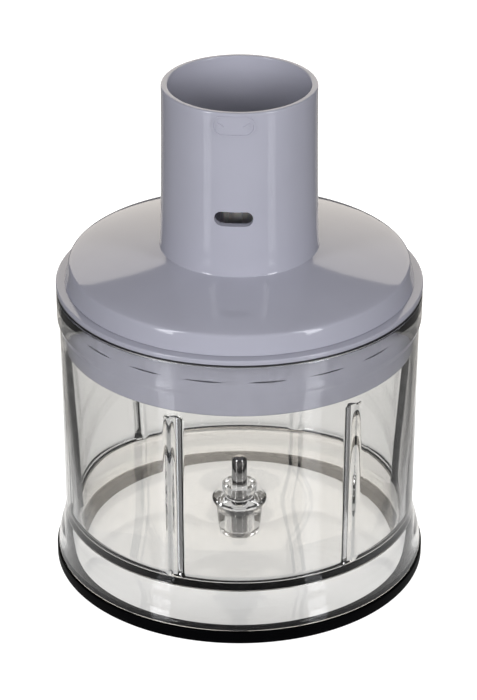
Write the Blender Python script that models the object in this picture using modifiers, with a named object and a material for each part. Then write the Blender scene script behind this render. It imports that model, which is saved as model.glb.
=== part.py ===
# Chopper attachment of an immersion blender: clear bowl on an anti-slip ring, with a geared lid.
# Millimetres in the named sizes, metres in the scene. The origin is under the centre of the base ring.

import math

import bmesh
import bpy
from mathutils import Matrix

MM = 0.001
MERGE_DISTANCE = 0.00001
FIT_GAP = 0.3
BIG_STEPS = 40
SMALL_STEPS = 20
TINY_STEPS = 12
SHARP_ANGLE = math.radians(32)

# Base ring
RING_OUTER_R = 60.0
RING_INNER_R = 54.2
RING_TOP_Z = 4.2
GROOVE_INNER_R = 57.0
GROOVE_OUTER_R = 59.0
GROOVE_FLOOR_Z = 1.5

# Bowl
RIM_TOP_Z = 96.9
RIM_OUTER_R = 58.0
RIM_BEAD_Z = 87.0
WALL_TOP_R = 57.35
WALL_LOW_R = 56.65
WALL_LOW_Z = 34.0
INNER_TOP_R = 55.3
INNER_LOW_R = 54.2
FLOOR_TOP_Z = 19.0
FLOOR_UNDER_Z = 16.2
FOOT_OUTER_R = 59.5
FOOT_INNER_R = 57.3
BOSS_TOP_Z = 24.5
BOSS_R = 5.7
WELL_R = 8.25
CUP_BOTTOM_Z = 5.0

# Inner ribs of the bowl
RIB_COUNT = 6
RIB_FIRST_DEG = -21.3
RIB_CREST_R = 52.1
RIB_ROOT_R = 55.2
RIB_HALF_WIDTH = 4.4
RIB_TOP_Z = 75.5

# Blade pin
PIN_R = 2.5
PIN_TOP_Z = 35.2
PIN_BOTTOM_Z = 7.3

# Lid base
FLANGE_TOP_Z = 99.2
FLANGE_UNDER_Z = 97.6
FLANGE_R = 58.06
SKIRT_R = 54.6
SKIRT_INNER_R = 52.2
SKIRT_BOTTOM_Z = 78.6
PLATE_TOP_Z = 83.0
PLATE_UNDER_Z = 80.6
BOSS_UNDER_Z = 77.0

# Lid cover
COVER_R = 55.0
COVER_WALL = 2.2
COLLAR_TOP_Z = 165.0
COLLAR_TOP_R = 24.2
COLLAR_FOOT_R = 24.8
COLLAR_BORE_R = 22.2
COLLAR_FLOOR_TOP_Z = 112.5
COLLAR_FLOOR_UNDER_Z = 110.3
DOME_START_R = 25.4
DOME_START_Z = 111.0
DOME_END_R = 52.5
DOME_END_Z = 106.0
DOME_POWER = 1.5
DOME_WALL = 2.4
SLOT_DEG = -4.0
SLOT_WIDTH = 12.0
SLOT_HEIGHT = 4.8
SLOT_Z = 130.3

# Gear train: fixed ring gear, sun in, carrier out
GEAR_MODULE = 1.0
SUN_TEETH = 15
PLANET_TEETH = 15
RING_TEETH = SUN_TEETH + 2 * PLANET_TEETH
PLANET_COUNT = 3
PRESSURE_ANGLE = math.radians(25)
ADDENDUM = 0.9
DEDENDUM = 1.15
TOOTH_THINNING = 0.15
PLANET_ORBIT_R = GEAR_MODULE * (SUN_TEETH + PLANET_TEETH) / 2
GEAR_LOW_Z = 88.9
PLANET_TOP_Z = 96.8
SUN_TOP_Z = 98.3

# Gearbox screws and the ears they pass through
SCREW_COUNT = 4
SCREW_ORBIT_R = 32.0
SCREW_FIRST_DEG = 45.0
SCREW_SHANK_R = 1.4
SCREW_HOLE_R = 1.7
EAR_R = 3.8
RING_GEAR_R = 27.2

# Shafts
INPUT_SHAFT_R = 3.0
OUTPUT_SHANK_R = 4.9
PLANET_PIN_R = 2.0
CARRIER_R = 19.5


def clear_scene():
    for old in list(bpy.data.objects):
        bpy.data.objects.remove(old)


def new_collection(name):
    group = bpy.data.collections.new(name)
    bpy.context.scene.collection.children.link(group)
    return group


clear_scene()
PARTS = new_collection("blender_chopper")
CUTTERS = new_collection("cutters")


def material(name, color, roughness, metallic=0.0, transmission=0.0):
    finish = bpy.data.materials.new(name)
    finish.use_nodes = True
    shader = finish.node_tree.nodes["Principled BSDF"]
    shader.inputs["Base Color"].default_value = (*color, 1.0)
    shader.inputs["Roughness"].default_value = roughness
    shader.inputs["Metallic"].default_value = metallic
    shader.inputs["Transmission Weight"].default_value = transmission
    return finish


LILAC = (0.47, 0.46, 0.52)
BLACK = (0.01, 0.01, 0.012)
STEEL = (0.62, 0.62, 0.63)
NATURAL = (0.78, 0.76, 0.70)
BRONZE = (0.55, 0.38, 0.20)


def place(item, finish, group):
    item.data.materials.append(finish)
    group.objects.link(item)
    return item


def ray(azimuth_deg, radius):
    """A point at this radius; azimuth 0 is the front, -Y, and positive turns towards +X."""
    angle = math.radians(azimuth_deg)
    return (radius * math.sin(angle), -radius * math.cos(angle))


def turned(name, profile, finish, steps=BIG_STEPS, centre=(0, 0), group=None):
    """Turns (radius, height) points, outer side top to bottom, about an upright axis."""
    form = bmesh.new()
    points = [form.verts.new((radius * MM, 0, height * MM)) for radius, height in profile]
    pairs = list(zip(points, points[1:]))
    if profile[0][0] > 0:
        pairs.append((points[-1], points[0]))
    for pair in pairs:
        form.edges.new(pair)
    mesh = bpy.data.meshes.new(name)
    form.to_mesh(mesh)
    form.free()
    item = bpy.data.objects.new(name, mesh)
    item.location = (centre[0] * MM, centre[1] * MM, 0)
    screw = item.modifiers.new("Turn", "SCREW")
    screw.steps = steps
    screw.render_steps = steps
    screw.use_merge_vertices = True
    screw.merge_threshold = MERGE_DISTANCE
    return place(item, finish, group or PARTS)


def flat(name, loops, low_z, high_z, finish, centre=(0, 0), group=None):
    """Extrudes a flat outline, with its holes as further loops, between two heights."""
    curve = bpy.data.curves.new(name, "CURVE")
    curve.dimensions = "2D"
    curve.fill_mode = "BOTH"
    curve.extrude = (high_z - low_z) / 2 * MM
    for loop in loops:
        spline = curve.splines.new("POLY")
        spline.points.add(len(loop) - 1)
        spline.use_cyclic_u = True
        for point, (x, y) in zip(spline.points, loop):
            point.co = (x * MM, y * MM, 0, 1)
    outline = bpy.data.objects.new(name + "_outline", curve)
    bpy.context.scene.collection.objects.link(outline)
    bpy.context.view_layer.update()
    seen = outline.evaluated_get(bpy.context.evaluated_depsgraph_get())
    mesh = bpy.data.meshes.new_from_object(seen)
    bpy.data.objects.remove(outline)
    form = bmesh.new()
    form.from_mesh(mesh)
    bmesh.ops.remove_doubles(form, verts=form.verts, dist=MERGE_DISTANCE)
    form.to_mesh(mesh)
    form.free()
    mesh.name = name
    mesh.materials.clear()
    item = bpy.data.objects.new(name, mesh)
    item.location = (centre[0] * MM, centre[1] * MM, (low_z + high_z) / 2 * MM)
    return place(item, finish, group or PARTS)


def as_cutter(item):
    item.hide_render = True
    item.display_type = "WIRE"
    return item


def combine(item, operand, operation):
    step = item.modifiers.new(operation.title(), "BOOLEAN")
    step.operation = operation
    step.solver = "EXACT"
    step.object = as_cutter(operand)


def circle(radius, points, centre=(0, 0)):
    turns = [2 * math.pi * step / points for step in range(points)]
    return [(centre[0] + radius * math.cos(t), centre[1] + radius * math.sin(t)) for t in turns]


def tube_profile(inner_r, outer_r, low_z, high_z):
    return [(inner_r, high_z), (outer_r, high_z), (outer_r, low_z), (inner_r, low_z)]


def screw_centres():
    step = 360 / SCREW_COUNT
    return [ray(SCREW_FIRST_DEG + step * index, SCREW_ORBIT_R) for index in range(SCREW_COUNT)]


def planet_centres():
    return [ray(360 / PLANET_COUNT * index, PLANET_ORBIT_R) for index in range(PLANET_COUNT)]


def base_ring():
    profile = [
        (RING_INNER_R + 0.4, RING_TOP_Z),
        (GROOVE_INNER_R, RING_TOP_Z),
        (GROOVE_INNER_R, GROOVE_FLOOR_Z),
        (GROOVE_OUTER_R, GROOVE_FLOOR_Z),
        (GROOVE_OUTER_R, RING_TOP_Z),
        (RING_OUTER_R - 0.4, RING_TOP_Z),
        (RING_OUTER_R, RING_TOP_Z - 0.6),
        (RING_OUTER_R, 0.5),
        (RING_OUTER_R - 0.5, 0),
        (RING_INNER_R + 0.5, 0),
        (RING_INNER_R, 0.5),
        (RING_INNER_R, RING_TOP_Z - 0.4),
    ]
    turned("base_ring", profile, material("black_rubber", BLACK, 0.6))


def rib_form(index):
    """One upright rib: a three-sided prism rooted in the wall, its crest cut back at the top."""
    radial = (RIB_ROOT_R - RIB_CREST_R) / 1.5
    stretch = RIB_HALF_WIDTH / (radial * math.sqrt(3) / 2)
    low_z = (FLOOR_TOP_Z + FLOOR_UNDER_Z) / 2
    form = bmesh.new()
    bmesh.ops.create_cone(
        form,
        cap_ends=True,
        segments=3,
        radius1=radial * MM,
        radius2=radial * MM,
        depth=(RIB_TOP_Z - low_z) * MM,
    )
    crest_y = max(vert.co.y for vert in form.verts)
    for vert in form.verts:
        if vert.co.z > 0 and vert.co.y > crest_y - MERGE_DISTANCE:
            vert.co.z -= 2.5 * MM
    bmesh.ops.scale(form, vec=(stretch, 1, 1), verts=form.verts)
    centre_r = RIB_CREST_R + radial
    move = Matrix.Translation((0, -centre_r * MM, (RIB_TOP_Z + low_z) / 2 * MM))
    turn = Matrix.Rotation(math.radians(RIB_FIRST_DEG + 360 / RIB_COUNT * index), 4, "Z")
    bmesh.ops.transform(form, matrix=turn @ move, verts=form.verts)
    mesh = bpy.data.meshes.new("rib")
    form.to_mesh(mesh)
    form.free()
    item = bpy.data.objects.new(f"rib_form_{index + 1}", mesh)
    CUTTERS.objects.link(item)
    return item


def bowl():
    pin_hole_r = PIN_R + FIT_GAP
    profile = [
        (0, PIN_BOTTOM_Z - FIT_GAP),
        (pin_hole_r, PIN_BOTTOM_Z - FIT_GAP),
        (pin_hole_r, BOSS_TOP_Z),
        (BOSS_R, BOSS_TOP_Z),
        (BOSS_R, BOSS_TOP_Z - 2.6),
        (BOSS_R - 1.0, FLOOR_TOP_Z + 1.4),
        (WELL_R, FLOOR_TOP_Z + 0.6),
        (WELL_R + 0.6, FLOOR_TOP_Z),
        (INNER_LOW_R - 1.2, FLOOR_TOP_Z),
        (INNER_LOW_R, FLOOR_TOP_Z + 1.0),
        (INNER_TOP_R, RIM_TOP_Z - 0.4),
        (INNER_TOP_R + 0.4, RIM_TOP_Z),
        (RIM_OUTER_R - 0.6, RIM_TOP_Z),
        (RIM_OUTER_R, RIM_TOP_Z - 0.6),
        (RIM_OUTER_R, RIM_BEAD_Z + 1.0),
        (WALL_TOP_R, RIM_BEAD_Z - 1.0),
        (WALL_LOW_R, WALL_LOW_Z),
        (WALL_LOW_R + 0.35, FLOOR_UNDER_Z + 0.5),
        (58.6, 9.9),
        (FOOT_OUTER_R, 5.4),
        (FOOT_OUTER_R, RING_TOP_Z + FIT_GAP),
        (GROOVE_OUTER_R - FIT_GAP, RING_TOP_Z + FIT_GAP),
        (GROOVE_OUTER_R - FIT_GAP, GROOVE_FLOOR_Z + FIT_GAP),
        (FOOT_INNER_R, GROOVE_FLOOR_Z + FIT_GAP),
        (FOOT_INNER_R, 5.5),
        (54.8, 14.8),
        (53.2, FLOOR_UNDER_Z),
        (8.4, FLOOR_UNDER_Z),
        (6.9, 14.4),
        (6.2, 6.6),
        (5.0, CUP_BOTTOM_Z),
        (0, CUP_BOTTOM_Z),
    ]
    finish = material("clear_plastic", (0.93, 0.93, 0.93), 0.04, transmission=1.0)
    item = turned("bowl", profile, finish)
    for index in range(RIB_COUNT):
        combine(item, rib_form(index), "UNION")


def blade_pin():
    profile = [
        (0, PIN_TOP_Z),
        (PIN_R * 0.55, PIN_TOP_Z - 0.35),
        (PIN_R * 0.9, PIN_TOP_Z - 1.2),
        (PIN_R, PIN_TOP_Z - 2.2),
        (PIN_R, PIN_BOTTOM_Z),
        (0, PIN_BOTTOM_Z),
    ]
    turned("blade_pin", profile, material("pin_steel", STEEL, 0.15, 1.0), SMALL_STEPS)


def lid_base():
    post_top_z = 88.3
    post_hole_z = 83.9
    profile = [
        (7.8, PLATE_TOP_Z),
        (SKIRT_INNER_R, PLATE_TOP_Z),
        (SKIRT_INNER_R, 93.5),
        (50.5, 95.5),
        (50.5, 101.0),
        (52.5, 101.0),
        (52.5, FLANGE_TOP_Z),
        (FLANGE_R - 0.5, FLANGE_TOP_Z),
        (FLANGE_R, FLANGE_TOP_Z - 0.5),
        (FLANGE_R, FLANGE_UNDER_Z),
        (57.7, FLANGE_UNDER_Z),
        (57.7, 98.2),
        (55.7, 98.2),
        (55.7, FLANGE_UNDER_Z),
        (SKIRT_R, FLANGE_UNDER_Z),
        (SKIRT_R, SKIRT_BOTTOM_Z + 0.6),
        (SKIRT_R - 0.6, SKIRT_BOTTOM_Z),
        (SKIRT_INNER_R, SKIRT_BOTTOM_Z),
        (SKIRT_INNER_R, PLATE_UNDER_Z),
        (13.0, PLATE_UNDER_Z),
        (13.0, BOSS_UNDER_Z),
        (10.0, BOSS_UNDER_Z),
        (10.0, 80.1),
        (7.8, 80.1),
    ]
    item = turned("lid_base", profile, material("lid_base_plastic", LILAC, 0.25))
    overlap = 0.6
    for index, centre in enumerate(screw_centres(), 1):
        post = [(0, post_top_z), (EAR_R, post_top_z)]
        post += [(EAR_R, PLATE_TOP_Z - overlap), (0, PLATE_TOP_Z - overlap)]
        hole = [(0, post_top_z + 1), (SCREW_HOLE_R, post_top_z + 1)]
        hole += [(SCREW_HOLE_R, post_hole_z), (0, post_hole_z)]
        finish = item.data.materials[0]
        combine(item, turned(f"post_{index}", post, finish, TINY_STEPS, centre, CUTTERS), "UNION")
        drill = turned(f"post_hole_{index}", hole, finish, TINY_STEPS, centre, CUTTERS)
        combine(item, drill, "DIFFERENCE")


def dome_height(radius):
    share = (radius - DOME_START_R) / (DOME_END_R - DOME_START_R)
    return DOME_START_Z - (DOME_START_Z - DOME_END_Z) * max(share, 0) ** DOME_POWER


def slot_cutter(finish):
    half_straight = (SLOT_WIDTH - SLOT_HEIGHT) / 2
    end_points = 7
    outline = []
    for side in (1, -1):
        for step in range(end_points):
            angle = math.pi * step / (end_points - 1) - math.pi / 2
            x = half_straight + SLOT_HEIGHT / 2 * math.cos(angle)
            outline.append((side * x, side * SLOT_HEIGHT / 2 * math.sin(angle)))
    cutter = flat("latch_slot_cutter", [outline], -4.0, 4.0, finish, group=CUTTERS)
    x, y = ray(SLOT_DEG, (COLLAR_BORE_R + COLLAR_FOOT_R) / 2)
    cutter.location = (x * MM, y * MM, SLOT_Z * MM)
    cutter.rotation_euler = (math.radians(90), 0, math.radians(SLOT_DEG))
    return cutter


def lid_cover():
    outer_radii = [DOME_START_R, 31.0, 38.0, 45.0, DOME_END_R]
    inner_radii = [50.8, 43.0, 34.0, 25.0]
    seal_hole_r = 8.0
    low_z = FLANGE_TOP_Z + FIT_GAP
    inner_r = COVER_R - COVER_WALL
    profile = [
        (COLLAR_BORE_R + 0.4, COLLAR_TOP_Z),
        (COLLAR_TOP_R - 0.5, COLLAR_TOP_Z),
        (COLLAR_TOP_R, COLLAR_TOP_Z - 0.5),
        (COLLAR_FOOT_R, DOME_START_Z + 0.6),
    ]
    profile += [(radius, dome_height(radius)) for radius in outer_radii]
    profile += [(54.3, 105.2), (COVER_R, 103.4), (COVER_R, low_z), (inner_r, low_z), (inner_r, 102.6)]
    profile += [(radius, dome_height(radius) - DOME_WALL) for radius in inner_radii]
    profile += [
        (23.0, COLLAR_FLOOR_UNDER_Z),
        (seal_hole_r, COLLAR_FLOOR_UNDER_Z),
        (seal_hole_r, COLLAR_FLOOR_TOP_Z),
        (COLLAR_BORE_R, COLLAR_FLOOR_TOP_Z),
        (COLLAR_BORE_R, COLLAR_TOP_Z - 0.4),
    ]
    finish = material("lid_cover_plastic", LILAC, 0.2)
    item = turned("lid_cover", profile, finish)
    combine(item, slot_cutter(finish), "DIFFERENCE")


def lid_seal():
    profile = tube_profile(56.0, 57.4, RIM_TOP_Z + FIT_GAP, 97.9)
    turned("lid_seal", profile, material("seal_rubber", (0.03, 0.03, 0.035), 0.6))


def involute(angle):
    return math.tan(angle) - angle


def gear_outline(teeth, root_r, tip_r, thinning, first_tooth):
    """Involute teeth, 3 points on each working flank. A negative thinning gives a cutter's wide teeth."""
    pitch_r = GEAR_MODULE * teeth / 2
    base_r = pitch_r * math.cos(PRESSURE_ANGLE)
    half_pitch_tooth = math.pi / (2 * teeth) - thinning / (2 * pitch_r)
    start_r = max(root_r, base_r)
    radii = [root_r] if root_r < base_r else []
    radii += [start_r, (start_r + tip_r) / 2, tip_r]
    half_angles = []
    for radius in radii:
        pressure = math.acos(min(1, base_r / radius))
        half_angles.append(half_pitch_tooth + involute(PRESSURE_ANGLE) - involute(pressure))
    outline = []
    for tooth in range(teeth):
        middle = first_tooth + 2 * math.pi * tooth / teeth
        rising = [(radius, middle - half) for radius, half in zip(radii, half_angles)]
        falling = [(radius, middle + half) for radius, half in zip(radii, half_angles)][::-1]
        outline += [(r * math.cos(t), r * math.sin(t)) for r, t in rising + falling]
    return outline


def external_gear(name, teeth, bore_r, top_z, finish, first_tooth, centre=(0, 0)):
    pitch_r = GEAR_MODULE * teeth / 2
    teeth_loop = gear_outline(
        teeth, pitch_r - DEDENDUM, pitch_r + ADDENDUM, TOOTH_THINNING, first_tooth
    )
    return flat(name, [teeth_loop, circle(bore_r, 16)], GEAR_LOW_Z, top_z, finish, centre)


def sun_gear():
    finish = material("sun_gear_steel", STEEL, 0.3, 1.0)
    first_tooth = -math.pi / 2
    external_gear("sun_gear", SUN_TEETH, INPUT_SHAFT_R + FIT_GAP, SUN_TOP_Z, finish, first_tooth)


def planets():
    gear_finish = material("planet_gear_plastic", NATURAL, 0.4)
    pin_finish = material("planet_pin_steel", STEEL, 0.2, 1.0)
    bore_r = PLANET_PIN_R + FIT_GAP
    pin = [(0, 98.4), (PLANET_PIN_R, 98.4), (PLANET_PIN_R, 85.8), (0, 85.8)]
    for index, centre in enumerate(planet_centres(), 1):
        outward = math.atan2(centre[1], centre[0])
        name = f"planet_gear_{index}"
        external_gear(name, PLANET_TEETH, bore_r, PLANET_TOP_Z, gear_finish, outward, centre)
        turned(f"planet_pin_{index}", pin, pin_finish, TINY_STEPS, centre)


def eared_outline():
    """A circle with a round ear at each screw, as distances from the axis at even angles."""
    points = []
    count = 72
    for step in range(count):
        angle = 2 * math.pi * step / count
        radius = RING_GEAR_R
        for x, y in screw_centres():
            along = x * math.cos(angle) + y * math.sin(angle)
            inside = EAR_R**2 - (SCREW_ORBIT_R**2 - along**2)
            if along > 0 and inside > 0:
                radius = max(radius, along + math.sqrt(inside))
        points.append((radius * math.cos(angle), radius * math.sin(angle)))
    return points


def screw_holes():
    return [circle(SCREW_HOLE_R, TINY_STEPS, centre) for centre in screw_centres()]


def ring_gear():
    pitch_r = GEAR_MODULE * RING_TEETH / 2
    first_gap = -math.pi / 2
    teeth_loop = gear_outline(
        RING_TEETH, pitch_r - ADDENDUM, pitch_r + DEDENDUM, -TOOTH_THINNING, first_gap
    )
    loops = [eared_outline(), teeth_loop] + screw_holes()
    flat("ring_gear", loops, 88.6, 99.0, material("ring_gear_plastic", NATURAL, 0.4))


def gearbox_plate():
    boss_r = 8.5
    bush_hole_r = 6.0
    finish = material("gearbox_plate_plastic", (0.35, 0.35, 0.37), 0.45)
    item = flat("gearbox_plate", [eared_outline()] + screw_holes(), 99.3, 101.3, finish)
    boss = [(0, 106.8), (boss_r, 106.8), (boss_r, 100.3), (0, 100.3)]
    hole = [(0, 108.0), (bush_hole_r, 108.0), (bush_hole_r, 98.0), (0, 98.0)]
    combine(item, turned("plate_boss", boss, finish, 24, group=CUTTERS), "UNION")
    combine(item, turned("plate_bore", hole, finish, 24, group=CUTTERS), "DIFFERENCE")


def carrier_plate(name, inner_r, low_z, high_z, finish):
    loops = [circle(CARRIER_R, 36), circle(inner_r, 20)]
    loops += [circle(PLANET_PIN_R + FIT_GAP, TINY_STEPS, centre) for centre in planet_centres()]
    flat(name, loops, low_z, high_z, finish)


def planet_carrier():
    carrier_finish = material("carrier_plastic", (0.30, 0.30, 0.32), 0.45)
    carrier_plate("planet_carrier", OUTPUT_SHANK_R + FIT_GAP, 85.5, 88.5, carrier_finish)
    cover_finish = material("carrier_cover_steel", STEEL, 0.3, 1.0)
    carrier_plate("carrier_cover", 9.0, 97.1, 98.6, cover_finish)


def output_coupling():
    """Shank up through the lid, and a head with a six-sided socket for the blade's hub."""
    head_r = 8.6
    socket_r = 5.4
    finish = material("output_coupling_plastic", NATURAL, 0.4)
    profile = [
        (0, 87.3),
        (OUTPUT_SHANK_R, 87.3),
        (OUTPUT_SHANK_R, 76.7),
        (head_r, 76.7),
        (head_r, 68.6),
        (head_r - 0.6, 68.0),
        (0, 68.0),
    ]
    item = turned("output_coupling", profile, finish, 24)
    socket = flat("socket_cutter", [circle(socket_r, 6)], 66.0, 75.0, finish, group=CUTTERS)
    combine(item, socket, "DIFFERENCE")


def output_bearing():
    shank_hole_r = OUTPUT_SHANK_R + FIT_GAP
    bush = [
        (shank_hole_r, 84.3),
        (10.0, 84.3),
        (10.0, 83.3),
        (7.5, 83.3),
        (7.5, 80.4),
        (shank_hole_r, 80.4),
    ]
    turned("output_bush", bush, material("output_bush_bronze", BRONZE, 0.35, 1.0), 24)
    seal = tube_profile(shank_hole_r, 9.7, 77.3, 79.8)
    turned("output_seal", seal, material("output_seal_rubber", BLACK, 0.6), 24)
    washer = tube_profile(shank_hole_r, 10.0, 84.6, 85.2)
    turned("lower_washer", washer, material("lower_washer_steel", STEEL, 0.3, 1.0), 24)


def input_shaft():
    top_z = 120.7
    low_z = GEAR_LOW_Z
    profile = [(0, top_z), (INPUT_SHAFT_R, top_z), (INPUT_SHAFT_R, low_z), (0, low_z)]
    finish = material("input_shaft_steel", STEEL, 0.2, 1.0)
    turned("input_shaft", profile, finish, 16)


def drive_dog():
    """Splined dog on the shaft's end, with a flange over the collar floor and a sleeve through it."""
    spline_count = 6
    spline_low_r = 4.6
    spline_high_r = 6.2
    sleeve_r = 4.1
    bore_r = INPUT_SHAFT_R + FIT_GAP
    profile = [
        (0, 125.5),
        (spline_low_r - 0.6, 125.5),
        (spline_low_r, 124.6),
        (spline_low_r, 114.8),
        (8.5, 114.8),
        (8.5, 113.2),
        (sleeve_r, 113.2),
        (sleeve_r, 108.6),
        (bore_r, 108.6),
        (bore_r, 121.0),
        (0, 121.0),
    ]
    finish = material("drive_dog_plastic", NATURAL, 0.4)
    item = turned("drive_dog", profile, finish, 24)
    steps_per_spline = 8
    outline = []
    for step in range(spline_count * steps_per_spline):
        angle = 2 * math.pi * step / (spline_count * steps_per_spline)
        raised = step % steps_per_spline in (2, 3, 4, 5)
        radius = spline_high_r if raised else spline_low_r - 0.4
        outline.append((radius * math.cos(angle), radius * math.sin(angle)))
    teeth = flat(
        "spline_form", [outline, circle(bore_r + 0.4, 12)], 114.2, 124.2, finish, group=CUTTERS
    )
    combine(item, teeth, "UNION")


def input_bearing():
    shaft_hole_r = INPUT_SHAFT_R + FIT_GAP
    bush = tube_profile(shaft_hole_r, 5.7, 99.6, 107.0)
    turned("input_bush", bush, material("input_bush_bronze", BRONZE, 0.35, 1.0), SMALL_STEPS)
    seal = tube_profile(4.4, 7.7, 110.6, 112.3)
    turned("input_seal", seal, material("input_seal_rubber", BLACK, 0.6), SMALL_STEPS)
    clip = tube_profile(shaft_hole_r, 5.4, 107.4, 108.2)
    turned("retaining_clip", clip, material("clip_steel", STEEL, 0.3, 1.0), SMALL_STEPS)
    washer = tube_profile(shaft_hole_r, 8.0, 98.6, 99.1)
    turned("upper_washer", washer, material("upper_washer_steel", STEEL, 0.3, 1.0), SMALL_STEPS)


def gearbox_screws():
    head_r = 3.0
    profile = [
        (0, 103.4),
        (head_r - 0.5, 103.4),
        (head_r, 102.9),
        (head_r, 101.6),
        (SCREW_SHANK_R, 101.6),
        (SCREW_SHANK_R, 84.2),
        (0, 84.2),
    ]
    finish = material("screw_steel", STEEL, 0.25, 1.0)
    for index, centre in enumerate(screw_centres(), 1):
        turned(f"gearbox_screw_{index}", profile, finish, TINY_STEPS, centre)


def bake_and_shade():
    """Applies each part's modifiers and shades its round faces smooth."""
    bpy.context.view_layer.update()
    graph = bpy.context.evaluated_depsgraph_get()
    meshes = {}
    for item in PARTS.objects:
        meshes[item] = bpy.data.meshes.new_from_object(item.evaluated_get(graph))
    for item, mesh in meshes.items():
        item.modifiers.clear()
        item.data = mesh
        mesh.shade_smooth()
        mesh.set_sharp_from_angle(angle=SHARP_ANGLE)


def main():
    base_ring()
    bowl()
    blade_pin()
    lid_base()
    lid_cover()
    lid_seal()
    gearbox_plate()
    ring_gear()
    planets()
    planet_carrier()
    output_coupling()
    output_bearing()
    sun_gear()
    input_shaft()
    drive_dog()
    input_bearing()
    gearbox_screws()
    bake_and_shade()


main()
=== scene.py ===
import math

import bmesh
import bpy
from mathutils import Euler, Matrix, Vector


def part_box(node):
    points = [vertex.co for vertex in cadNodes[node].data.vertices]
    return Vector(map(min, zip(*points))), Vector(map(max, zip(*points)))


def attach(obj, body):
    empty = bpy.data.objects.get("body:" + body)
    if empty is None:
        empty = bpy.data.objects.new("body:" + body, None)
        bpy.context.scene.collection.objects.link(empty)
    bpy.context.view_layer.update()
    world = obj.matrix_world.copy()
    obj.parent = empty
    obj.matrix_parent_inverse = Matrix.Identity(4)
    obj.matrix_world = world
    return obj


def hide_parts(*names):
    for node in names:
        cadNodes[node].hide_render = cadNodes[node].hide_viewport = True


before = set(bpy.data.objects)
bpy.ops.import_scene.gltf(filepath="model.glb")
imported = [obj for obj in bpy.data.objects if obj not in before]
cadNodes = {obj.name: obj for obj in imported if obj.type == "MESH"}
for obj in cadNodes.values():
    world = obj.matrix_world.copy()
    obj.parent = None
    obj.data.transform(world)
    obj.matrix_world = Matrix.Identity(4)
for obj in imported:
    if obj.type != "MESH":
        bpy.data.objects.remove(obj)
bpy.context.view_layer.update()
mm = 0.001  # the sizes below are in millimetres
onAxis = 1e-6  # mm; a point nearer than this to the axis has no azimuth
weld = 1e-7  # m; points nearer than this are one


def around(node):  # outer radius, lowest and highest height of a round CAD node, in mm
    low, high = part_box(node)
    return high.x / mm, low.z / mm, high.z / mm


# materials: every solid finish has a mottled colour, and every finish an uneven gloss and a fine relief
noiseLow, noiseHigh = 0.3, 0.7  # where nearly all the values of a noise lie


def addNode(material, kind, **settings):  # a setting is a property of the node or, failing that, an input
    node = material.node_tree.nodes.new(kind)
    for name, value in settings.items():
        if hasattr(node, name):
            setattr(node, name, value)
        else:
            node.inputs[name.replace("_", " ")].default_value = value
    return node


def grainNoise(material, scale, stretch=(1, 1, 1)):  # noise that keeps its place on the object
    link = material.node_tree.links.new
    place = addNode(material, "ShaderNodeTexCoord")
    mapping = addNode(material, "ShaderNodeMapping", Scale=stretch)
    noise = addNode(material, "ShaderNodeTexNoise", Scale=scale, Detail=3.0)
    link(place.outputs["Object"], mapping.inputs["Vector"])
    link(mapping.outputs["Vector"], noise.inputs["Vector"])
    return noise.outputs["Fac"]


def spread(material, value, low, high):  # stretches a noise to run from low to high
    node = addNode(material, "ShaderNodeMapRange", From_Min=noiseLow, From_Max=noiseHigh, To_Min=low, To_Max=high)
    material.node_tree.links.new(value, node.inputs["Value"])
    return node.outputs["Result"]


def glossAndRelief(material, shader, look):
    link = material.node_tree.links.new
    fine = grainNoise(material, look["grainScale"], look.get("stretch", (1, 1, 1)))
    link(spread(material, fine, *look["roughness"]), shader.inputs["Roughness"])
    bump = addNode(material, "ShaderNodeBump", Strength=look["bump"], Distance=look["bumpDepth"] * mm)
    link(fine, bump.inputs["Height"])
    link(bump.outputs["Normal"], shader.inputs["Normal"])


def newMaterial(name):
    material = bpy.data.materials.new(name)
    material.use_nodes = True
    return material, material.node_tree.nodes["Principled BSDF"], material.node_tree.links.new


def solidFinish(look):
    material, shader, link = newMaterial(look["name"])
    for socket, value in look["shader"].items():
        shader.inputs[socket].default_value = value
    broad = grainNoise(material, look["mottleScale"])
    ramp = addNode(material, "ShaderNodeValToRGB")
    for stop, position, sign in zip(ramp.color_ramp.elements, (noiseLow, noiseHigh), (-1, 1)):
        stop.position = position
        stop.color = (*(c * (1 + sign * look["mottle"]) for c in look["colour"]), 1)
    link(broad, ramp.inputs["Fac"])
    link(ramp.outputs["Color"], shader.inputs["Base Color"])
    glossAndRelief(material, shader, look)
    return material


lidLook = {
    "name": "lilac_grey_abs", "colour": (0.40, 0.40, 0.46), "mottle": 0.02, "mottleScale": 45,
    "grainScale": 2600, "roughness": (0.05, 0.09), "bump": 0.03, "bumpDepth": 0.01, "shader": {"IOR": 1.53},
}
rubberLook = {
    "name": "black_rubber", "colour": (0.0009, 0.0009, 0.0012), "mottle": 0.15, "mottleScale": 120,
    "grainScale": 3500, "roughness": (0.42, 0.55), "bump": 0.2, "bumpDepth": 0.03,
    "shader": {"IOR": 1.45, "Specular IOR Level": 0.03},
}
sealLook = {
    "name": "dark_seal_rubber", "colour": (0.02, 0.02, 0.023), "mottle": 0.15, "mottleScale": 140,
    "grainScale": 3500, "roughness": (0.4, 0.5), "bump": 0.2, "bumpDepth": 0.03, "shader": {"IOR": 1.5},
}
steelLook = {
    "name": "polished_steel", "colour": (0.40, 0.39, 0.385), "mottle": 0.04, "mottleScale": 260,
    "grainScale": 900, "stretch": (6, 6, 0.6), "roughness": (0.05, 0.10), "bump": 0.06, "bumpDepth": 0.01,
    "shader": {"Metallic": 1.0},
}
sheetLook = {
    "name": "rolled_sheet_steel", "colour": (0.42, 0.42, 0.42), "mottle": 0.06, "mottleScale": 200,
    "grainScale": 1500, "stretch": (0.4, 4, 1), "roughness": (0.26, 0.4), "bump": 0.12, "bumpDepth": 0.02,
    "shader": {"Metallic": 1.0},
}
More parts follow.
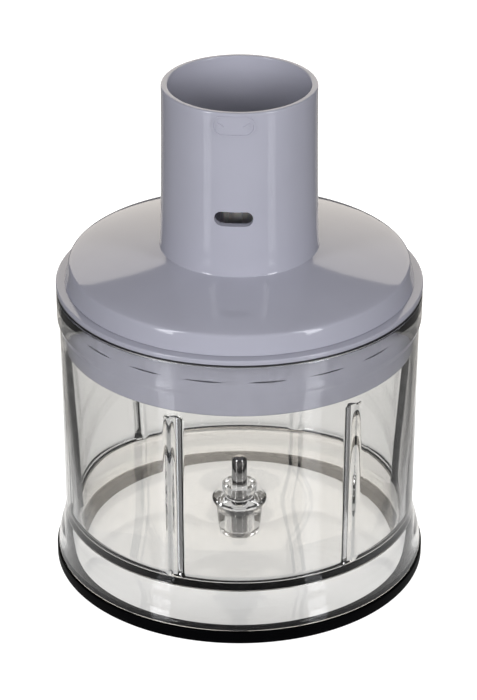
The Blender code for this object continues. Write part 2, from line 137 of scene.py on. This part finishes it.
screwLook = {
    "name": "zinc_plated_steel", "colour": (0.5, 0.5, 0.48), "mottle": 0.05, "mottleScale": 400,
    "grainScale": 1800, "roughness": (0.22, 0.34), "bump": 0.1, "bumpDepth": 0.02, "shader": {"Metallic": 1.0},
}
bronzeLook = {
    "name": "sintered_bronze", "colour": (0.42, 0.25, 0.12), "mottle": 0.12, "mottleScale": 300,
    "grainScale": 5200, "roughness": (0.35, 0.5), "bump": 0.3, "bumpDepth": 0.03, "shader": {"Metallic": 1.0},
}
acetalLook = {
    "name": "white_acetal", "colour": (0.72, 0.71, 0.66), "mottle": 0.03, "mottleScale": 90,
    "grainScale": 2400, "roughness": (0.3, 0.42), "bump": 0.08, "bumpDepth": 0.02,
    "shader": {"IOR": 1.48, "Subsurface Weight": 0.15, "Subsurface Scale": 0.001},
}
nylonLook = {
    "name": "grey_filled_nylon", "colour": (0.16, 0.165, 0.175), "mottle": 0.08, "mottleScale": 150,
    "grainScale": 3000, "roughness": (0.38, 0.52), "bump": 0.15, "bumpDepth": 0.02, "shader": {"IOR": 1.53},
}
clearLook = {
    "name": "clear_san", "colour": (0.905, 0.903, 0.893), "roughness": (0.0, 0.02), "IOR": 1.57,
    "grainScale": 700, "bump": 0.02, "bumpDepth": 0.01, "shadow": (0.91, 0.91, 0.905),
}


def clearPlastic(look):  # moulded clear plastic that lets the lamps' light through
    material, shader, link = newMaterial(look["name"])
    shader.inputs["Base Color"].default_value = (*look["colour"], 1)
    shader.inputs["IOR"].default_value = look["IOR"]
    shader.inputs["Transmission Weight"].default_value = 1.0
    glossAndRelief(material, shader, look)
    through = addNode(material, "ShaderNodeBsdfTransparent", Color=(*look["shadow"], 1))
    path = addNode(material, "ShaderNodeLightPath")
    choose = addNode(material, "ShaderNodeMixShader")
    link(path.outputs["Is Shadow Ray"], choose.inputs["Fac"])
    link(shader.outputs["BSDF"], choose.inputs[1])
    link(through.outputs["BSDF"], choose.inputs[2])
    link(choose.outputs["Shader"], material.node_tree.nodes["Material Output"].inputs["Surface"])
    return material


finishes = {look["name"]: solidFinish(look) for look in (
    lidLook, rubberLook, sealLook, steelLook, sheetLook, screwLook, bronzeLook, acetalLook, nylonLook)}
finishes[clearLook["name"]] = clearPlastic(clearLook)
print("finishes mixed:", len(finishes))


# turned shapes: a line of (radius, height) points in mm, spun about the common axis
def softLine(corners, arcStep=15):  # a third number in a corner is its fillet
    line = []
    for i, corner in enumerate(corners):
        here = Vector(corner[:2])
        fillet = corner[2] if len(corner) > 2 else 0
        if not fillet:
            line.append(here)
            continue
        back = (Vector(corners[i - 1][:2]) - here).normalized()
        onward = (Vector(corners[(i + 1) % len(corners)][:2]) - here).normalized()
        half = back.angle(onward) / 2
        centre = here + (back + onward).normalized() * fillet / math.sin(half)
        start = here + back * fillet / math.tan(half) - centre
        end = here + onward * fillet / math.tan(half) - centre
        steps = max(2, math.ceil(math.degrees(math.pi - 2 * half) / arcStep))
        line += [centre + start.slerp(end, k / steps).normalized() * fillet for k in range(steps + 1)]
    return line


def spinLine(line, steps, closed=True):
    bm = bmesh.new()
    verts = [bm.verts.new((point[0] * mm, 0, point[1] * mm)) for point in line]
    edges = [bm.edges.new(pair) for pair in zip(verts, verts[1:])]
    if closed:
        edges.append(bm.edges.new((verts[-1], verts[0])))
    bmesh.ops.spin(bm, geom=verts + edges, cent=(0, 0, 0), axis=(0, 0, 1), dvec=(0, 0, 0),
                   angle=math.tau, steps=steps, use_merge=True, use_duplicate=False)
    bmesh.ops.remove_doubles(bm, verts=bm.verts[:], dist=weld)
    bmesh.ops.recalc_face_normals(bm, faces=bm.faces[:])
    return bm


sharpAngle = 32  # degrees; edges bent further than this stay crisp


def makePiece(bm, name, body, finish, standsFor=(), sharp=sharpAngle):
    for face in bm.faces:
        face.smooth = True
    for edge in bm.edges:
        if len(edge.link_faces) == 2 and edge.calc_face_angle(0) > math.radians(sharp):
            edge.smooth = False
    mesh = bpy.data.meshes.new(name)
    bm.to_mesh(mesh)
    bm.free()
    piece = bpy.data.objects.new(name, mesh)
    bpy.context.scene.collection.objects.link(piece)
    mesh.materials.append(finishes[finish])
    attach(piece, body)
    if standsFor:
        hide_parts(*standsFor)
    return piece


def polar(co):  # radius in mm, azimuth in degrees from the front, height in mm
    return math.hypot(co.x, co.y) / mm, math.degrees(math.atan2(co.x, -co.y)), co.z / mm


def setPolar(co, radius, azimuth, height):
    angle = math.radians(azimuth)
    co.xyz = radius * math.sin(angle) * mm, -radius * math.cos(angle) * mm, height * mm


def smoothStep(t):
    t = min(max(t, 0.0), 1.0)
    return t * t * (3 - 2 * t)


def fromNearest(azimuth, first, pitch):  # degrees from the nearest of a set of equal steps round the part
    return (azimuth - first + pitch / 2) % pitch - pitch / 2


# anti-slip ring, with a groove that the edge of the bowl's foot stands in
ringRadius, ringLow, ringHigh = around("base_ring")
ring = {
    "inner": 54.2, "grooveIn": 57.0, "grooveOut": 59.0, "grooveFloor": 1.5, "edge": 0.5, "outerEdge": 0.8,
    "grooveEdge": 0.2, "steps": 360,
}
ringLine = softLine([
    (ring["inner"], ringLow, ring["edge"]), (ringRadius, ringLow, ring["outerEdge"]),
    (ringRadius, ringHigh, ring["edge"]), (ring["grooveOut"], ringHigh, ring["grooveEdge"]),
    (ring["grooveOut"], ring["grooveFloor"], ring["grooveEdge"]),
    (ring["grooveIn"], ring["grooveFloor"], ring["grooveEdge"]),
    (ring["grooveIn"], ringHigh, ring["grooveEdge"]), (ring["inner"], ringHigh, ring["edge"])])
makePiece(spinLine(ringLine, ring["steps"]), "anti_slip_ring", "ring", "black_rubber", ["base_ring"])
print("anti-slip ring done")

# clear bowl: one moulding with six ribs inside, a boss for the pin and a flared foot
bowlHigh = around("bowl")[2]
bowl = {
    "steps": 480, "sharp": 50,
    "boss": [(0, 7.0), (2.8, 7.0, 0.3), (2.8, 24.5, 0.3), (5.7, 24.5, 0.35), (5.7, 21.9, 0.3), (4.7, 20.6, 0.6),
             (4.3, 19.35, 0.4), (8.25, 19.5, 0.25), (8.9, 19.0, 0.3)],
    "floorTop": 19.0, "floorCorner": (53.4, 19.0, 1.2), "wallFoot": (54.22, 21.2),
    "wallLean": 1.08, "wallLeanFrom": 22.0, "wallLeanLength": 74.5,
    "wallRows": (22.0, 30.0, 45.0, 60.0, 72.0, 75.9, 76.5, 76.65, 76.8, 77.0, 77.5, 80.0, 90.0),
    "rim": [(55.3, bowlHigh, 0.45), (58.0, bowlHigh, 0.7), (58.0, 87.6, 0.8), (57.3, 85.6, 1.2), (56.9, 55.0)],
    "waist": 56.7, "flareOut": 2.85, "flareTop": 20.0, "flareLow": 5.2, "flareLength": 16.5, "flareRows": 12,
    "foot": [(59.5, 4.5, 0.15), (58.7, 4.5, 0.15), (58.7, 1.8, 0.15), (57.3, 1.8, 0.15), (57.3, 5.6, 0.8)],
    "underCorner": (54.9, 16.8, 0.6),
    "cup": [(8.6, 16.8, 0.4), (7.0, 14.6, 0.5), (6.3, 7.0), (6.1, 6.0), (5.6, 5.3), (4.8, 5.0), (0, 5.0)],
    "ribCount": 6, "ribFirst": -21.3, "ribHalfWidth": 3.4, "ribHeight": 2.25, "ribTop": 77.0, "ribRunOut": 0.5,
    "ribFootRise": 1.0, "ribBand": (53.0, 55.25),  # radii of the wall rows that the ribs pull inwards
    "ribZone": 5.0,  # degrees each side of a rib that get the fine steps
    "ribShare": 0.5,  # share of the steps that go there
}
bowlCorners = bowl["boss"] + [bowl["floorCorner"], bowl["wallFoot"]]
for height in bowl["wallRows"]:  # the inner wall leans out a little towards the rim
    lean = bowl["wallLean"] * (height - bowl["wallLeanFrom"]) / bowl["wallLeanLength"]
    bowlCorners.append((bowl["wallFoot"][0] + lean, height))
bowlCorners += bowl["rim"]
for k in range(bowl["flareRows"] + 1):  # the wall flares out to the foot in a soft S
    height = bowl["flareTop"] + (bowl["flareLow"] - bowl["flareTop"]) * k / bowl["flareRows"]
    part = (bowl["flareTop"] - height) / bowl["flareLength"]
    bowlCorners.append((bowl["waist"] + bowl["flareOut"] * smoothStep(part), height))
bowlCorners += bowl["foot"] + [bowl["underCorner"]] + bowl["cup"]
bowlLine = softLine(bowlCorners)
bowlMesh = spinLine(bowlLine, bowl["steps"], closed=False)
ribPitch = 360 / bowl["ribCount"]


def ribSpacing(azimuth):  # crowds the steps of the spin beside the ribs
    turn = (azimuth - bowl["ribFirst"]) / ribPitch
    whole = math.floor(turn + 0.5)
    part = turn - whole
    share, zone = bowl["ribShare"] / 2, bowl["ribZone"] / ribPitch
    if abs(part) <= share:
        part *= zone / share
    else:
        part = math.copysign(zone + (abs(part) - share) * (0.5 - zone) / (0.5 - share), part)
    return bowl["ribFirst"] + (whole + part) * ribPitch


for vert in bowlMesh.verts:
    radius, azimuth, height = polar(vert.co)
    if radius < onAxis:
        continue
    azimuth = ribSpacing(azimuth)
    onWall = bowl["ribBand"][0] < radius < bowl["ribBand"][1]
    if onWall and bowl["floorTop"] < height < bowl["ribTop"]:
        across = math.radians(abs(fromNearest(azimuth, bowl["ribFirst"], ribPitch))) * radius / bowl["ribHalfWidth"]
        if across < 1:
            crest = math.cos(across * math.pi / 2) ** 2
            runOut = smoothStep((bowl["ribTop"] - height) / bowl["ribRunOut"])
            rise = smoothStep((height - bowl["floorTop"]) / bowl["ribFootRise"])
            radius -= bowl["ribHeight"] * crest * runOut * rise
    setPolar(vert.co, radius, azimuth, height)
bmesh.ops.recalc_face_normals(bowlMesh, faces=bowlMesh.faces[:])
makePiece(bowlMesh, "clear_bowl", "bowl", "clear_san", ["bowl"], bowl["sharp"])
print("clear bowl done:", len(bowlLine), "points round", bowl["steps"], "steps")

# steel pin, knurled where the boss grips it
pinRadius, pinLow, pinHigh = around("blade_pin")
pin = {
    "steps": 96, "arcStep": 9, "footEdge": 0.3, "tipRound": 1.9,
    "knurls": 24, "knurlDepth": 0.22, "knurlTop": 12.3, "knurlRows": 4, "knurlFrom": 0.4, "knurlFade": 0.2,
    "knurlReach": 0.5,
}
pinCorners = [(0, pinLow), (pinRadius, pinLow, pin["footEdge"])]
for k in range(1, pin["knurlRows"] + 1):
    pinCorners.append((pinRadius, pinLow + (pin["knurlTop"] - pinLow) * k / pin["knurlRows"]))
pinCorners += [(pinRadius, pin["knurlTop"] + pin["knurlFade"]), (pinRadius, pinHigh, pin["tipRound"]), (0, pinHigh)]
pinMesh = spinLine(softLine(pinCorners, pin["arcStep"]), pin["steps"], closed=False)
for vert in pinMesh.verts:
    radius, azimuth, height = polar(vert.co)
    if radius > pinRadius - pin["knurlReach"] and pinLow + pin["knurlFrom"] < height <= pin["knurlTop"]:
        radius -= pin["knurlDepth"] * (0.5 - 0.5 * math.cos(math.radians(azimuth * pin["knurls"])))
        setPolar(vert.co, radius, azimuth, height)
makePiece(pinMesh, "steel_pin", "bowl", "polished_steel", ["blade_pin"])
print("pin done")

# gear lid: skirt and flange, with a row of fine slits round the skirt and a small ridge above each
flangeRadius = around("lid_base")[0]
skirt = {
    "steps": 480, "radius": 54.4, "wallIn": 51.8, "bottom": 78.7, "plateUnder": 80.6, "plateTop": 83.0,
    "bore": 7.8, "hubRadius": 13.0, "hubBottom": 77.0, "hubInner": 10.0, "hubStep": 80.1,
    "shoulder": [(50.5, 95.5), (50.5, 100.8, 0.2), (52.4, 100.8, 0.2)], "shoulderFrom": 93.5,
    "flangeTop": 99.2, "flangeLow": 97.6, "flangeFoot": [(57.7, 97.6), (55.7, 97.5)],
    "neckRows": (97.4, 96.6, 92.2, 91.6), "belowSlit": 89.8, "sharp": 28,
    "slitCount": 18, "slitFirst": 8.8, "slitHalfAngle": 6.3, "slitHeight": 0.5, "slitDepth": 1.9, "slitAt": 90.45,
    "slitRows": [(0, 0.04), (0.2, 0.03), (0.2, -0.03), (0, -0.04)],  # depth and height while it is closed
    "slitBand": 0.05, "slitShut": 0.004, "slitShutDepth": 0.01, "slitDip": 0.9, "slitEnds": 3,
    "outerBand": (54.1, 54.5), "innerRows": 0.1,  # what the slits and ridges move, and how far in their rows start
    "ridgeHalfWidth": 1.5, "ridgeHeight": 0.22, "ridgeFrom": 91.2, "ridgeRise": 0.5, "ridgeTop": 97.3,
    "ridgeFlank": 2,
}
skirtCorners = [
    (skirt["bore"], skirt["plateTop"], 0.3), (skirt["wallIn"], skirt["plateTop"], 0.4),
    (skirt["wallIn"], skirt["shoulderFrom"]), *skirt["shoulder"], (52.4, skirt["flangeTop"], 0.2),
    (flangeRadius, skirt["flangeTop"], 0.55), (flangeRadius, skirt["flangeLow"], 0.25), *skirt["flangeFoot"]]
skirtCorners += [(skirt["radius"], height) for height in skirt["neckRows"]]
skirtCorners += [(skirt["radius"] - inward, skirt["slitAt"] + height) for inward, height in skirt["slitRows"]]
skirtCorners += [
    (skirt["radius"], skirt["belowSlit"]), (skirt["radius"], skirt["bottom"], 0.7),
    (skirt["wallIn"], skirt["bottom"], 0.5), (skirt["wallIn"], skirt["plateUnder"], 0.5),
    (skirt["hubRadius"], skirt["plateUnder"], 0.4), (skirt["hubRadius"], skirt["hubBottom"], 0.4),
    (skirt["hubInner"], skirt["hubBottom"], 0.4), (skirt["hubInner"], skirt["hubStep"], 0.2),
    (skirt["bore"], skirt["hubStep"], 0.2)]
skirtMesh = spinLine(softLine(skirtCorners), skirt["steps"])
for vert in skirtMesh.verts:
    radius, azimuth, height = polar(vert.co)
    if not skirt["outerBand"][0] <= radius <= skirt["outerBand"][1]:
        continue
    offset = fromNearest(azimuth, skirt["slitFirst"], 360 / skirt["slitCount"])
    lens = max(0.0, 1 - (offset / skirt["slitHalfAngle"]) ** 2)
    fromSlit = height - skirt["slitAt"]
    if abs(fromSlit) < skirt["slitBand"]:  # the four rows of a slit open to a lens shape
        height = skirt["slitAt"] + math.copysign(skirt["slitShut"] + lens * skirt["slitHeight"] / 2, fromSlit)
        if radius < skirt["radius"] - skirt["innerRows"]:  # it runs inwards and down, so it looks black
            opened = min(1.0, lens * skirt["slitEnds"])
            radius = skirt["radius"] - skirt["slitShutDepth"] - skirt["slitDepth"] * opened
            height -= skirt["slitDip"] * opened
    elif skirt["slitAt"] < height < skirt["ridgeTop"]:
        across = abs(math.radians(offset)) * radius / skirt["ridgeHalfWidth"]
        rise = smoothStep((height - skirt["ridgeFrom"]) / skirt["ridgeRise"])
        radius += skirt["ridgeHeight"] * smoothStep((1 - across) * skirt["ridgeFlank"]) * rise
    setPolar(vert.co, radius, azimuth, height)
makePiece(skirtMesh, "lid_skirt", "lid", "lilac_grey_abs", ["lid_base"], skirt["sharp"])
print("lid skirt done")

# gear lid: dome and collar
coverHigh = around("lid_cover")[2]
cover = {
    "steps": 480, "bore": 22.2, "rimRadius": 24.2, "rimEdge": 0.6, "boreEdge": 0.5,
    "collar": [(24.2, 161.0), (24.3, 146.0), (24.44, 136.0), (24.56, 128.0), (24.75, 118.0), (24.9, 111.6),
               (25.0, 111.25), (25.15, 111.06), (25.4, 111.0)],
    "domeStart": 25.4, "domeEnd": 52.2, "domeRadius": 52.5, "domeTop": 111.0, "domeRows": 14,
    "domeSlope": 4.2, "domeCurl": 0.8, "domePower": 3.5, "domeWall": 2.0, "innerStart": 51.5, "innerEnd": 26.0,
    "edge": [(53.85, 105.5, 1.3), (55.3, 99.35, 0.15), (52.9, 99.35, 0.2), (52.9, 102.6, 0.4)],
    "socket": [(22.6, 108.6), (22.6, 110.3, 0.3), (8.0, 110.3, 0.2), (8.0, 112.5, 0.2)], "socketFloor": 112.5,
    "slotWidth": 12.0, "slotHeight": 4.8, "slotHeightAt": 130.3, "slotAzimuth": -4.3, "slotFrom": 28.0,
    "slotDepth": 8.0,
}


def domeHeight(radius):
    part = max(radius - cover["domeStart"], 0) / (cover["domeRadius"] - cover["domeStart"])
    return cover["domeTop"] - cover["domeSlope"] * part - cover["domeCurl"] * part ** cover["domePower"]


def domeRow(start, end, k):
    return start + (end - start) * k / cover["domeRows"]


coverCorners = [(cover["bore"], coverHigh, cover["boreEdge"]), (cover["rimRadius"], coverHigh, cover["rimEdge"])]
coverCorners += cover["collar"]
for k in range(1, cover["domeRows"] + 1):
    radius = domeRow(cover["domeStart"], cover["domeEnd"], k)
    coverCorners.append((radius, domeHeight(radius)))
coverCorners += cover["edge"]
for k in range(cover["domeRows"] + 1):
    radius = domeRow(cover["innerStart"], cover["innerEnd"], k)
    coverCorners.append((radius, domeHeight(radius) - cover["domeWall"]))
coverCorners += cover["socket"] + [(cover["bore"], cover["socketFloor"], cover["boreEdge"])]
coverMesh = spinLine(softLine(coverCorners), cover["steps"])
coverPiece = makePiece(coverMesh, "lid_dome_and_collar", "lid", "lilac_grey_abs", ["lid_cover"])


def obround(width, height, arcSteps=16):  # a flat face with round ends, long in X and tall in Z, in mm
    bm = bmesh.new()
    loop = []
    for side in (1, -1):
        for k in range(arcSteps + 1):
            angle = -math.pi / 2 + math.pi * k / arcSteps
            across = (width - height) / 2 + math.cos(angle) * height / 2
            loop.append(bm.verts.new((side * across * mm, 0, side * math.sin(angle) * height / 2 * mm)))
    bm.faces.new(loop)
    return bm


def thicken(bm, depth, keepBack=False):  # pushes the faces along Y by depth in mm and closes the sides
    grown = bmesh.ops.extrude_face_region(bm, geom=bm.faces[:], use_keep_orig=keepBack)["geom"]
    moved = [v for v in grown if isinstance(v, bmesh.types.BMVert)]
    bmesh.ops.translate(bm, verts=moved, vec=(0, depth * mm, 0))


def cutSlot(piece):  # latch slot through the front of the collar
    bm = obround(cover["slotWidth"], cover["slotHeight"])
    thicken(bm, cover["slotDepth"])
    angle = math.radians(cover["slotAzimuth"])
    away = Vector((math.sin(angle), -math.cos(angle), 0)) * cover["slotFrom"] * mm
    place = Matrix.Translation(away + Vector((0, 0, cover["slotHeightAt"] * mm))) @ Matrix.Rotation(angle, 4, "Z")
    bmesh.ops.transform(bm, matrix=place, verts=bm.verts[:])
    bmesh.ops.recalc_face_normals(bm, faces=bm.faces[:])
    mesh = bpy.data.meshes.new("slotCutter")
    bm.to_mesh(mesh)
    bm.free()
    cutter = bpy.data.objects.new("slotCutter", mesh)
    bpy.context.scene.collection.objects.link(cutter)
    cut = piece.modifiers.new("latch slot", "BOOLEAN")
    cut.object, cut.operation, cut.solver = cutter, "DIFFERENCE", "EXACT"
    shaped = bpy.data.meshes.new_from_object(piece.evaluated_get(bpy.context.evaluated_depsgraph_get()))
    piece.modifiers.clear()
    piece.data = shaped
    shaped.set_sharp_from_angle(angle=math.radians(sharpAngle))
    bpy.data.objects.remove(cutter)


cutSlot(coverPiece)
print("lid dome and collar done")

# raised outline with two arrowheads that show which way the motor unit twists
badge = {
    "width": 13.4, "height": 6.6, "azimuth": -4.4, "heightAt": 160.8, "ridge": 0.6, "raise": 0.34, "sunk": 0.3,
    "cuts": 14, "longEdge": 2, "arrowAt": 4.3, "arrowSize": 1.35,
}
badgeMesh = obround(badge["width"], badge["height"])
longEdges = [edge for edge in badgeMesh.edges if edge.calc_length() > badge["longEdge"] * mm]
bmesh.ops.subdivide_edges(badgeMesh, edges=longEdges, cuts=badge["cuts"])
middle = badgeMesh.faces[:]
bmesh.ops.inset_region(badgeMesh, faces=middle, thickness=badge["ridge"] * mm, use_boundary=True, use_even_offset=True)
bmesh.ops.delete(badgeMesh, geom=middle, context="FACES")
for side in (-1, 1):
    arrow = bmesh.ops.create_circle(badgeMesh, cap_ends=True, segments=3, radius=badge["arrowSize"] * mm)["verts"]
    bmesh.ops.transform(badgeMesh, verts=arrow, matrix=(
        Matrix.Translation((side * badge["arrowAt"] * mm, 0, 0)) @ Matrix.Rotation(-side * math.pi / 2, 4, "Y")
        @ Matrix.Rotation(math.pi / 2, 4, "X")))
thicken(badgeMesh, -(badge["raise"] + badge["sunk"]), keepBack=True)
for vert in badgeMesh.verts:  # bends the flat outline round the collar
    turn = math.degrees(vert.co.x / mm / cover["rimRadius"])
    setPolar(vert.co, cover["rimRadius"] - badge["sunk"] - vert.co.y / mm, badge["azimuth"] + turn,
             badge["heightAt"] + vert.co.z / mm)
bmesh.ops.recalc_face_normals(badgeMesh, faces=badgeMesh.faces[:])
makePiece(badgeMesh, "twist_badge", "lid", "lilac_grey_abs")
print("twist badge done")

# dark seal between the flange and the rim of the bowl, widened to fill the gap there: partly the real rubber seal,
# partly a painted shadow line in that gap
seal = {"inner": 56.9, "outer": 57.95, "low": 96.96, "high": 97.56, "steps": 360, "edge": 0.15}
sealLine = softLine([(radius, height, seal["edge"]) for radius, height in (
    (seal["inner"], seal["low"]), (seal["outer"], seal["low"]),
    (seal["outer"], seal["high"]), (seal["inner"], seal["high"]))])
makePiece(spinLine(sealLine, seal["steps"]), "rim_seal", "lid", "dark_seal_rubber", ["lid_seal"])
print("seal done")

# CAD pieces that keep their shape and get a finish
cadFinishes = {
    "grey_filled_nylon": ["gearbox_plate", "planet_carrier"],
    "white_acetal": ["ring_gear", "output_coupling", "drive_dog"] + [f"planet_gear_{i}" for i in (1, 2, 3)],
    "polished_steel": ["sun_gear", "input_shaft"] + [f"planet_pin_{i}" for i in (1, 2, 3)],
    "rolled_sheet_steel": ["carrier_cover", "lower_washer", "upper_washer", "retaining_clip"],
    "sintered_bronze": ["output_bush", "input_bush"],
    "dark_seal_rubber": ["output_seal", "input_seal"],
    "zinc_plated_steel": [f"gearbox_screw_{i}" for i in (1, 2, 3, 4)],
}
for finishName, nodeNames in cadFinishes.items():
    for nodeName in nodeNames:
        for materialSlot in cadNodes[nodeName].material_slots:
            materialSlot.material = finishes[finishName]
print("CAD pieces finished:", sum(len(names) for names in cadFinishes.values()))

# studio: a pale glossy floor with a painted pool of light glowing under and behind the object, a warm backdrop light
# behind, and cool lamps in front, above and at both sides
lampColour, stripColour = (0.97, 0.975, 1.0), (0.96, 0.965, 1.0)
strip = {"elevation": 34, "distance": 1.2, "width": 0.2, "height": 1.25, "upright": True, "radiance": 7.0,
         "colour": stripColour}
lamps = {
    "backLight": {"azimuth": 180, "elevation": 20, "distance": 0.96, "width": 1.15, "height": 0.61, "upright": True,
                  "radiance": 1.85, "colour": (1.0, 0.935, 0.85)},
    "frontLight": {"azimuth": 0, "elevation": 15, "distance": 1.5, "width": 1.1, "height": 0.42, "mirrored": False,
                   "throughClear": False, "radiance": 9.2, "colour": lampColour},
    "topLight": {"azimuth": 0, "elevation": 88, "distance": 1.3, "width": 0.5, "height": 0.5,
                 "throughClear": False, "radiance": 0.9, "colour": lampColour},
    "leftStrip": {"azimuth": -47, **strip},
    "rightStrip": {"azimuth": 47, **strip},
}
studio = {
    "aimHeight": 0.1, "floorSize": 3.0, "floorDrop": 0.2, "floorColour": (0.3, 0.3, 0.298), "floorRoughness": 0.03,
    "floorIOR": 1.62, "floorTint": (0.9, 0.95, 1.0), "floorShown": 1.0, "glow": 0.56, "edgeGlow": 0.01,
    "glowWidth": 0.18, "glowLength": 1.3, "glowMiddle": 0.59, "glowSoftness": 0.06,
    "worldShown": (1.0, 1.0, 1.0), "worldLight": 0.045,
    "cameraAt": (-0.0003, -0.86115, 0.52004), "cameraTilt": 62.56, "lens": 155.86, "sensor": 36, "clipStart": 0.01,
}


# painted pool of light: the floor's emission forms a soft-edged patch under and behind the object, and the whole floor
# shows evenly white to the camera
def floorFinish():  # glows softly under and behind the object, and shows white
    material, shader, link = newMaterial("pale_floor")
    for socket, value in (
            ("Base Color", (*studio["floorColour"], 1)), ("Roughness", studio["floorRoughness"]),
            ("IOR", studio["floorIOR"]), ("Specular Tint", (*studio["floorTint"], 1)),
            ("Emission Color", (1, 1, 1, 1))):
        shader.inputs[socket].default_value = value
    place = addNode(material, "ShaderNodeTexCoord")
    shape = addNode(material, "ShaderNodeMapping", vector_type="TEXTURE")
    shape.inputs["Location"].default_value = (0, studio["glowMiddle"], 0)
    shape.inputs["Scale"].default_value = (studio["glowWidth"] / 2, studio["glowLength"] / 2, 1)
    absolute = addNode(material, "ShaderNodeVectorMath", operation="ABSOLUTE")
    split = addNode(material, "ShaderNodeSeparateXYZ")
    reach = addNode(material, "ShaderNodeMath", operation="MAXIMUM")
    # painted pool of light: the emission fades from glow inside the patch to edgeGlow outside it
    fade = addNode(material, "ShaderNodeMapRange", interpolation_type="SMOOTHSTEP",
                   From_Min=1 - studio["glowSoftness"], From_Max=1 + studio["glowSoftness"],
                   To_Min=studio["glow"], To_Max=studio["edgeGlow"])
    path = addNode(material, "ShaderNodeLightPath")
    strength = addNode(material, "ShaderNodeMix")
    strength.inputs["B"].default_value = studio["floorShown"]
    link(place.outputs["Object"], shape.inputs["Vector"])
    link(shape.outputs["Vector"], absolute.inputs[0])
    link(absolute.outputs["Vector"], split.inputs["Vector"])
    link(split.outputs["X"], reach.inputs[0])
    link(split.outputs["Y"], reach.inputs[1])
    link(reach.outputs["Value"], fade.inputs["Value"])
    link(path.outputs["Is Camera Ray"], strength.inputs["Factor"])
    link(fade.outputs["Result"], strength.inputs["A"])
    link(strength.outputs["Result"], shader.inputs["Emission Strength"])
    return material


floorMesh = bmesh.new()
bmesh.ops.create_grid(floorMesh, x_segments=8, y_segments=8, size=studio["floorSize"])
bmesh.ops.translate(floorMesh, verts=floorMesh.verts[:], vec=(0, 0, -studio["floorDrop"] * mm))
floorData = bpy.data.meshes.new("floor")
floorMesh.to_mesh(floorData)
floorMesh.free()
floorData.materials.append(floorFinish())
floor = bpy.data.objects.new("floor", floorData)
bpy.context.scene.collection.objects.link(floor)


def softBox(name, look):  # azimuth from the front, elevation from the middle of the part
    lamp = bpy.data.lights.new(name, "AREA")
    lamp.shape = "RECTANGLE"
    lamp.size, lamp.size_y = look["width"], look["height"]
    lamp.energy = look["radiance"] * look["width"] * look["height"] * math.pi
    lamp.color = look["colour"]
    out, up = math.radians(look["azimuth"]), math.radians(look["elevation"])
    target = Vector((0, 0, studio["aimHeight"]))
    away = Vector((math.sin(out) * math.cos(up), -math.cos(out) * math.cos(up), math.sin(up)))
    centre = target + look["distance"] * away
    if look.get("upright", False):
        target.z = centre.z
    box = bpy.data.objects.new(name, lamp)
    box.location = centre
    box.rotation_euler = (target - centre).to_track_quat("-Z", "Y").to_euler()
    box.visible_camera = False
    box.visible_glossy = look.get("mirrored", True)
    box.visible_transmission = look.get("throughClear", True)
    bpy.context.scene.collection.objects.link(box)


for lampName, lampLook in lamps.items():
    softBox(lampName, lampLook)

world = bpy.data.worlds.new("studio")
bpy.context.scene.world = world
world.use_nodes = True
worldNodes, worldLink = world.node_tree.nodes, world.node_tree.links.new
worldLight = worldNodes["Background"]
worldLight.inputs["Color"].default_value = (1, 1, 1, 1)
worldLight.inputs["Strength"].default_value = studio["worldLight"]
worldShown = worldNodes.new("ShaderNodeBackground")
worldShown.inputs["Color"].default_value = (*studio["worldShown"], 1)
worldPath = worldNodes.new("ShaderNodeLightPath")
worldMix = worldNodes.new("ShaderNodeMixShader")
worldLink(worldPath.outputs["Is Camera Ray"], worldMix.inputs["Fac"])
worldLink(worldLight.outputs["Background"], worldMix.inputs[1])
worldLink(worldShown.outputs["Background"], worldMix.inputs[2])
worldLink(worldMix.outputs["Shader"], worldNodes["World Output"].inputs["Surface"])

lens = bpy.data.cameras.new("camera")
lens.lens = studio["lens"]
lens.sensor_width = studio["sensor"]
lens.clip_start = studio["clipStart"]
camera = bpy.data.objects.new("camera", lens)
camera.location = studio["cameraAt"]
camera.rotation_euler = Euler((math.radians(studio["cameraTilt"]), 0, 0))
bpy.context.scene.collection.objects.link(camera)
bpy.context.scene.camera = camera
bpy.context.scene.view_settings.view_transform = "Standard"
print("studio lit")
